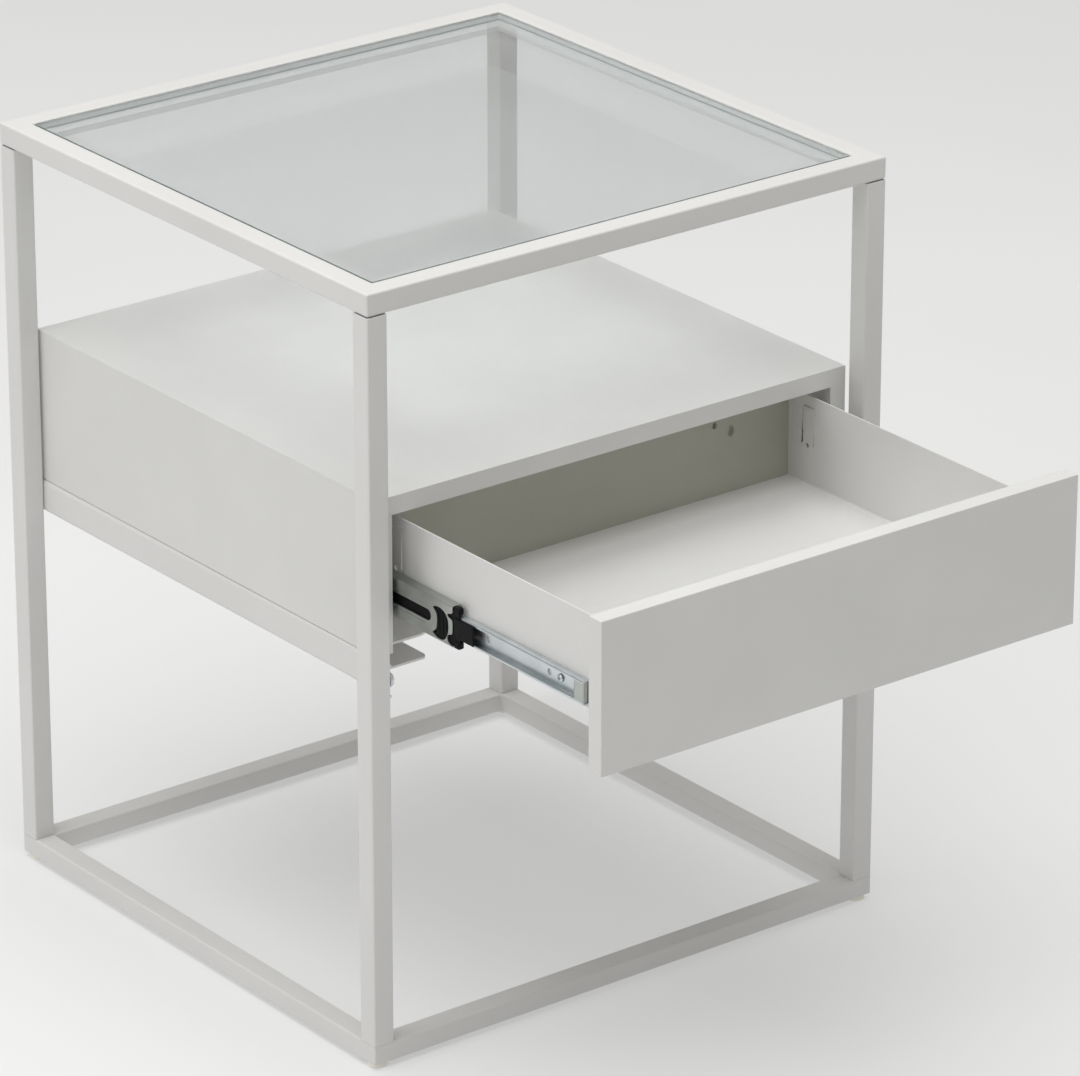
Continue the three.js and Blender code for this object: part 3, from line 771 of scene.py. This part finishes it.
# the outer and middle members take the darker zinc: painted shade of their place inside the slide
MEMBER_FINISH = {"outer": "shaded_zinc", "middle": "shaded_zinc", "inner": "zinc"}
OUTER_HOLES = (12 * MM, 60 * MM, 120 * MM, 185 * MM)
OUTER_HOLE = 2.2 * MM
SLOT_SPAN = (21.3 * MM, 91.7 * MM)
SLOT_RADIUS = 3.7 * MM
CUT_OUT = (  # (height, distance from the front end), in millimetres
    (7.6, 20), (9.2, 13), (7.2, 7), (3.2, 4.2), (-2, 3.8), (-6, 4.6), (-11.4, 8), (-12, 15),
    (-9.6, 20.4), (-8, 18), (-5.4, 15.4), (3.6, 15.4), (5.6, 17.6),
)
FRONT_EDGE = (  # wave of the middle member's front end, in the same terms
    (-12.4, 0), (-11.6, 4), (-9, 5.4), (-6, 4.8), (-5, 0), (0, 0), (4.8, 0), (5.4, 4.8), (7.6, 5), (8.6, 0),
    (12, 0),
)
DIMPLES = ((7, 42), (-9.6, 42))  # in the same terms
DIMPLE = (1.8 * MM, 0.27 * MM)  # radius, height
BEAD_HEIGHTS = (-6.2 * MM, 6.2 * MM)
BEAD_HALF_WIDTH = 0.6 * MM
BEAD_ENDS = (27 * MM, 4 * MM)  # distance from the front end and from the back end
BEAD_RAISED = 0.25 * MM
SUNK = 0.2 * MM  # how deep a pressed dome reaches into the sheet
SPARE_HOLES = (37 * MM, 96 * MM)
SLIDE_HOLE = 2.1 * MM
END_TAB = 10 * MM
END_TAB_RADIUS = 2.1 * MM
STOP_GAP = 0.3 * MM  # between the black stop and the metal behind it
STOP_PLATE = (3.3 * MM, 3.8 * MM)  # nearest and furthest u
STOP_PLATE_HALF = 12.2 * MM
STOP_RIBS = (7, 10.5, 14)  # distance from the metal's front end, in millimetres
STOP_RIB_WIDTH = 1.2 * MM
STOP_RIB_SPAN = (-9 * MM, 8 * MM)
STOP_NOSE_HALF = 6.4 * MM
STOP_EAR_REACH = 5.5 * MM
STOP_EAR_BOTTOM = 8.5 * MM


class Slide:
    """Coordinates of one slide."""

    def __init__(self, side, sign):
        self.side, self.sign = side, sign
        low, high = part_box(f"slide_outer_{side}")
        self.wall = low.x if sign < 0 else high.x
        self.centre = (low.z + high.z) / 2

    def place(self, u, v, y):
        """Point in space."""
        return (self.wall - self.sign * u, y, self.centre + v)

    def reach(self, node):
        """Nearest and furthest u of a CAD node."""
        low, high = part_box(node)
        return sorted(self.sign * (self.wall - x) for x in (low.x, high.x))

    def block(self, low, high, radius=0.3 * MM, segments=2):
        """Rounded block between two (u, y, v) corners."""
        a, b = self.place(low[0], low[2], low[1]), self.place(high[0], high[2], high[1])
        corner_low = [min(p, q) for p, q in zip(a, b)]
        corner_high = [max(p, q) for p, q in zip(a, b)]
        return slab(corner_low, corner_high, radius, segments)


def slide_member(slide, kind, body, web_is_near, shape_of):
    """A C-shaped member. shape_of(middle, length, front, back) gives its flat outline and its holes."""
    node = f"slide_{kind}_{slide.side}"
    low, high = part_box(node)
    near, far = (u + inset for u, inset in zip(slide.reach(node), (SLIDE_SHEET / 2, -SLIDE_SHEET / 2)))
    web, flange = (near, far) if web_is_near else (far, near)
    half = (high.z - low.z - SLIDE_SHEET) / 2
    upper = [(web, half), (flange, half), (flange, half - LIPS[kind])]
    lower = [(u, -v) for u, v in reversed(upper)]
    fold = Fold(lower + upper, SLIDE_BEND, 4)
    outline, holes = shape_of(fold.length / 2, fold.length, low.y, high.y)
    bm = folded_sheet(fold, outline, holes, slide.place)
    return make_sheet(f"{kind}_member_{slide.side}", bm, SLIDE_SHEET, MEMBER_FINISH[kind], body, [node])


def plain(length, front, back):
    """Rectangular flat outline."""
    return [(0, front), (length, front), (length, back), (0, back)]


def oblong(middle, start, end, radius):
    """Slot along the member with round ends."""
    front, back = (middle, start + radius), (middle, end - radius)
    return arc(front, radius, 0, -180, 10) + arc(back, radius, 180, 0, 10)


def dimple(slide, u, v, y, radius, height):
    """Shallow pressed dome on a web's face towards the cabinet side."""
    turns = [math.radians(degrees) for degrees in range(0, 90, 15)]
    bm = turned([(radius, -SUNK), *((radius * math.cos(a), height * math.sin(a)) for a in turns)], 24)
    bm.transform(Matrix.Translation(slide.place(u, v, y)) @ up_to(Vector((slide.sign, 0, 0))))
    return face_out(bm)


def bead(slide, u, v, front, back):
    """Straight pressed rib on the same face."""
    low = (u - BEAD_RAISED, front, v - BEAD_HALF_WIDTH)
    high = (u + 0.3 * MM, back, v + BEAD_HALF_WIDTH)
    return slide.block(low, high)


def outer_member(slide):
    def shape(middle, length, front, back):
        return plain(length, front, back), [circle((middle, front + d), OUTER_HOLE) for d in OUTER_HOLES]

    slide_member(slide, "outer", "frame", True, shape)


def middle_member(slide):
    body = f"slide_middle_{slide.side}"
    low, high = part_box(body)
    web_face = slide.reach(body)[0]

    def shape(middle, length, front, back):
        wave = soften([(middle + v * MM, front + d * MM) for v, d in FRONT_EDGE], closed=False)
        cut_out = soften([(middle + v * MM, front + d * MM) for v, d in CUT_OUT])
        slot = oblong(middle, front + SLOT_SPAN[0], front + SLOT_SPAN[1], SLOT_RADIUS)
        return [(0, front), *wave, (length, front), (length, back), (0, back)], [slot, cut_out]

    front, back = low.y + BEAD_ENDS[0], high.y - BEAD_ENDS[1]
    pressed = [dimple(slide, web_face, v * MM, low.y + d * MM, *DIMPLE) for v, d in DIMPLES]
    pressed += [bead(slide, web_face, v, front, back) for v in BEAD_HEIGHTS]
    add_shells(slide_member(slide, "middle", body, True, shape), pressed)


def inner_member(slide):
    node = f"slide_inner_{slide.side}"
    low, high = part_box(node)
    near, far = slide.reach(node)
    screws = [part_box(f"slide_screw_{slide.side}_{number}") for number in (1, 2)]
    holes_y = [(a.y + b.y) / 2 for a, b in screws] + [low.y + d for d in SPARE_HOLES]

    def shape(middle, length, front, back):
        return plain(length, front, back), [circle((middle, y), SLIDE_HOLE) for y in holes_y]

    half = (high.z - low.z) / 2 - 0.2 * MM
    tab = slide.block((near, low.y, -half), (far - 0.5 * MM, low.y + END_TAB, half), END_TAB_RADIUS, 5)
    slide_member(slide, "inner", "drawer", False, shape)
    # the end tab takes the darker zinc too, whose darkness is painted shade
    make_piece(f"inner_end_tab_{slide.side}", tab, "shaded_zinc", "drawer")


def front_stop(slide):
    """Black moulding in the middle member's front end: a ribbed plate, a nose and two ears."""
    body = f"slide_middle_{slide.side}"
    node = f"slide_stop_{slide.side}"
    low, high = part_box(node)
    near, far = slide.reach(node)
    top = (high.z - low.z) / 2
    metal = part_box(body)[0].y
    ear_front, nose_back = metal - STOP_EAR_REACH, metal - STOP_GAP
    u0, u1 = STOP_PLATE
    parts = [slide.block((u0, ear_front, -STOP_PLATE_HALF), (u1, high.y, STOP_PLATE_HALF), 0.15 * MM)]
    for distance in STOP_RIBS:
        y = metal + distance * MM
        corner = (u0 - 0.4 * MM, y, STOP_RIB_SPAN[0])
        parts.append(slide.block(corner, (u0 + 0.2 * MM, y + STOP_RIB_WIDTH, STOP_RIB_SPAN[1])))
    parts.append(slide.block((near, low.y, -STOP_NOSE_HALF), (u1, nose_back, STOP_NOSE_HALF), 0.5 * MM, 3))
    for v0, v1 in ((-top, -STOP_EAR_BOTTOM), (STOP_EAR_BOTTOM, top)):
        parts.append(slide.block((near, ear_front, v0), (far, nose_back, v1), 1.2 * MM, 4))
    make_piece(f"front_stop_{slide.side}", merge(*parts), "black_plastic", body, [node])


CAGES = {  # half height, sheet, u of the balls, radius of the balls
    "outer_cage": (14.8 * MM, 0.4 * MM, 5 * MM, 1.2 * MM),
    "inner_cage": (10 * MM, 0.5 * MM, 6 * MM, 1.5 * MM),
}
CAGE_BEND = 0.8 * MM
CAGE_EDGE = 0.05 * MM
BALL_PITCH = 13 * MM
BALL_COUNT = 4  # in each flange
BALL_HOLE = 0.94  # share of the ball's radius


def ball_cage(slide, kind):
    """U-shaped strip with a row of balls held in holes in each flange."""
    half, sheet, ball_u, radius = CAGES[kind]
    node = f"slide_{kind}_{slide.side}"
    low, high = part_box(node)
    near, far = slide.reach(node)
    web = near + sheet / 2
    fold = Fold([(far, -half), (web, -half), (web, half), (far, half)], CAGE_BEND, 4)
    holes, balls = [], []
    for i in range(BALL_COUNT):
        y = low.y + BALL_PITCH * (i + 0.5)
        hole = circle((far - ball_u, y), BALL_HOLE * radius, 16)
        holes += [hole, mirrored(hole, fold.length)]
        for v in (-half, half):
            ball = bmesh.new()
            bmesh.ops.create_uvsphere(ball, u_segments=20, v_segments=12, radius=radius)
            ball.transform(Matrix.Translation(slide.place(ball_u, v, y)))
            balls.append(ball)
    body = f"{kind}_{slide.side}"
    strip = folded_sheet(fold, plain(fold.length, low.y, high.y), holes, slide.place)
    name = f"{kind}_strip_{slide.side}"
    make_sheet(name, strip, sheet, NODE_FINISH[node], body, [node], CAGE_EDGE)
    make_piece(f"{kind}_balls_{slide.side}", merge(*balls), "steel", body)


for side, sign in SIDES:
    slide = Slide(side, sign)
    outer_member(slide)
    middle_member(slide)
    inner_member(slide)
    front_stop(slide)
    ball_cage(slide, "outer_cage")
    ball_cage(slide, "inner_cage")


# ---- drawer ----
DRAWER_SHEET = 1.0 * MM
DRAWER_BEND = 1.6 * MM
TAB_LENGTH = 13 * MM
TAB_HEIGHT = 26.5 * MM
TAB_SETBACK = 13 * MM  # from the back end of the side
TAB_DROP = 7 * MM  # from the side's top edge
TAB_SLITS = {"rear": 2.2 * MM, "top": 1.2 * MM, "front": 1.5 * MM}
TAB_HOLE = 1.7 * MM
FRONT_SCREW_HOLE = 2.3 * MM
BACK_DIMPLES = (  # x, z, half width, half height
    (100.4 * MM, 341.5 * MM, 1.8 * MM, 2.4 * MM),
    (113.7 * MM, 335 * MM, 2.6 * MM, 4 * MM),
)
POCKET_SECTION = (  # share of a dimple's size, face of the wall to measure from, millimetres behind it
    (0.6, "back", 2.6),
    (0.9, "back", 1.6),
    (1, "back", 0),
    (1, "front", 0.15),
    (0.9, "front", 0.5),
    (0.75, "back", 1),
    (0.5, "back", 1.8),
)


def side_holes(back):
    """Slits round the tab in a drawer side, and the hole at its root."""
    rear, root = back - TAB_SETBACK, TAB_DROP + TAB_HEIGHT
    front = rear - TAB_LENGTH
    top = TAB_DROP + TAB_SLITS["top"]
    slit = [
        (root, rear),
        (TAB_DROP, rear),
        (TAB_DROP, front),
        (root, front),
        (root, front + TAB_SLITS["front"]),
        (TAB_DROP + 0.5 * MM, front + 0.4 * MM),
        (top, rear - TAB_SLITS["rear"]),
        (root, rear - TAB_SLITS["rear"]),
    ]
    return [slit, circle((root + 0.5 * MM, rear - 0.5 * TAB_LENGTH), TAB_HOLE, 16)]


def drawer_tray():
    """Two sides and the bottom, folded from one sheet."""
    left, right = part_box("drawer_side_left"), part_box("drawer_side_right")
    half = DRAWER_SHEET / 2
    x0, x1, z0, z1 = left[0].x + half, right[1].x - half, left[0].z + half, left[1].z
    fold = Fold([(x0, z1), (x0, z0), (x1, z0), (x1, z1)], DRAWER_BEND)
    holes = side_holes(left[1].y)
    holes += [mirrored(hole, fold.length) for hole in holes]
    tray = folded_sheet(fold, plain(fold.length, left[0].y, left[1].y), holes, lambda a, b, t: (a, t, b))
    nodes = ["drawer_side_left", "drawer_side_right", "drawer_bottom"]
    make_sheet("drawer_tray", tray, DRAWER_SHEET, "powder_coat", "drawer", nodes)


def end_wall(name, node, holes):
    """Flat end of the drawer, standing on the tray's bottom between its sides."""
    low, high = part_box(node)
    tray_low, tray_high = span("drawer_side_left", "drawer_side_right")
    x0, x1 = tray_low.x + DRAWER_SHEET, tray_high.x - DRAWER_SHEET
    z0, middle = tray_low.z + DRAWER_SHEET, (low.y + high.y) / 2
    flat = Fold([(x0, 0), (x1, 0)], DRAWER_BEND)
    outline = [(0, z0), (x1 - x0, z0), (x1 - x0, high.z), (0, high.z)]
    loops = [[(x - x0, z) for x, z in hole] for hole in holes]
    wall = folded_sheet(flat, outline, loops, lambda a, b, t: (a, middle, t))
    make_sheet(name, wall, DRAWER_SHEET, NODE_FINISH[node], "drawer", [node])


def ellipse(x, z, half_x, half_z, steps=28):
    """Closed loop of points."""
    return [(x + half_x * c, z + half_z * s) for c, s in circle((0, 0), 1, steps)]


def drawer_back():
    """Back wall with two dimples pressed backwards."""
    low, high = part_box("drawer_back")
    face = {"front": low.y, "back": high.y}
    # The wall and its dimples take their slot's finish, the darker inner coat, whose darkness is painted
    # shade.
    end_wall("drawer_back_wall", "drawer_back", [ellipse(*place) for place in BACK_DIMPLES])
    for number, (x, z, half_x, half_z) in enumerate(BACK_DIMPLES, 1):
        loops = []
        for share, side, depth in POCKET_SECTION:
            y = face[side] + depth * MM
            loops.append([(a, y, b) for a, b in ellipse(x, z, share * half_x, share * half_z)])
        make_piece(f"back_wall_dimple_{number}", loft(loops), NODE_FINISH["drawer_back"], "drawer")


def drawer_inner_front():
    """Front wall of the drawer box, with holes for the screws that hold the front board."""
    holes = []
    for place in FRONT_SCREWS:
        low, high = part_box(f"front_screw_{place}")
        holes.append(circle(((low.x + high.x) / 2, (low.z + high.z) / 2), FRONT_SCREW_HOLE))
    end_wall("drawer_front_wall", "drawer_inner_front", holes)


def drawer_front():
    board = slab(*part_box("drawer_front"), BOARD_EDGE, 3)
    make_piece("drawer_front_board", board, "white_board", "drawer", ["drawer_front"])


drawer_tray()
drawer_back()
drawer_inner_front()
drawer_front()


# ---- CAD nodes that no piece stands for: the spigots inside the tubes ----
for name, node in frame["nodes"].items():
    if not node.hide_render:
        node.data.materials.clear()
        node.data.materials.append(FINISHES[NODE_FINISH[name]])


# ---- floor, light and camera ----
FLOOR_HALF = 8
FLOOR_GLOW = 0.34
FLOOR_DROP = 0.02 * MM  # keeps the floor clear of the feet
SKY_STRENGTH = 0.3
SKY_COLOUR = (1, 0.985, 0.955, 1)
LIGHTS = (  # name, location, target, diameter, power in watts
    ("top_light", (-0.4, -0.15, 3.2), (0, 0, 0.2), 3.8, 97),
    ("left_light", (-2.8, 0.35, 1.75), (0, 0, 0.3), 1.8, 18),
)
CAMERA_AZIMUTH = -37.52  # degrees from straight in front
CAMERA_ELEVATION = 22.55  # degrees
CAMERA_DISTANCE = 4.168
CAMERA_HEIGHT = 0.2566  # of the point it circles
CAMERA_SHIFT = 0.0532  # to the right of the line to that point
AIM_RIGHT, AIM_DOWN = 0.0627, 0.0148  # where it looks, from the same point
LENS, SENSOR = 217.07, 36  # millimetres


def floor():
    """Plain pale floor."""
    bm = bmesh.new()
    bmesh.ops.create_grid(bm, x_segments=1, y_segments=1, size=FLOOR_HALF)
    mesh = bpy.data.meshes.new("floor")
    bm.to_mesh(mesh)
    bm.free()
    look = Look("floor", Roughness=0.9, Specular_IOR_Level=0.1)
    look.colour(look.noise(2, 2), (0.49, 0.49, 0.49), (0.51, 0.51, 0.51))
    look.shader.inputs["Emission Color"].default_value = (1, 1, 1, 1)
    look.shader.inputs["Emission Strength"].default_value = FLOOR_GLOW
    mesh.materials.append(look.material)
    plane = bpy.data.objects.new("floor", mesh)
    plane.location.z = -FLOOR_DROP
    bpy.context.scene.collection.objects.link(plane)


def area_light(name, location, target, size, power):
    """Soft round light that faces its target."""
    data = bpy.data.lights.new(name, "AREA")
    data.shape = "DISK"
    data.size = size
    data.energy = power
    light = bpy.data.objects.new(name, data)
    light.location = location
    light.rotation_euler = (Vector(target) - Vector(location)).to_track_quat("-Z", "Y").to_euler()
    bpy.context.scene.collection.objects.link(light)


def world():
    """Even, slightly warm light from all round."""
    sky = bpy.data.worlds.new("studio")
    sky.use_nodes = True
    background = sky.node_tree.nodes["Background"]
    background.inputs["Color"].default_value = SKY_COLOUR
    background.inputs["Strength"].default_value = SKY_STRENGTH
    bpy.context.scene.world = sky


def camera():
    """The photo's view."""
    azimuth, elevation = math.radians(CAMERA_AZIMUTH), math.radians(CAMERA_ELEVATION)
    level = math.cos(elevation)
    back = Vector((math.sin(azimuth) * level, -math.cos(azimuth) * level, math.sin(elevation)))
    right = Vector((math.cos(azimuth), math.sin(azimuth), 0))
    up = back.cross(right)
    table_low, table_high = span("top_rail_front", "top_rail_back", "base_rail_front")
    pivot = (table_low + table_high) / 2
    pivot.z = CAMERA_HEIGHT
    data = bpy.data.cameras.new("camera")
    data.sensor_width = SENSOR
    data.lens = LENS
    cam = bpy.data.objects.new("camera", data)
    cam.location = pivot + CAMERA_DISTANCE * back + CAMERA_SHIFT * right
    target = pivot + AIM_RIGHT * right - AIM_DOWN * up
    cam.rotation_euler = (target - cam.location).to_track_quat("-Z", "Y").to_euler()
    bpy.context.scene.collection.objects.link(cam)
    bpy.context.scene.camera = cam


floor()
world()
for light in LIGHTS:
    area_light(*light)
camera()
bpy.context.scene.view_settings.view_transform = "Standard"
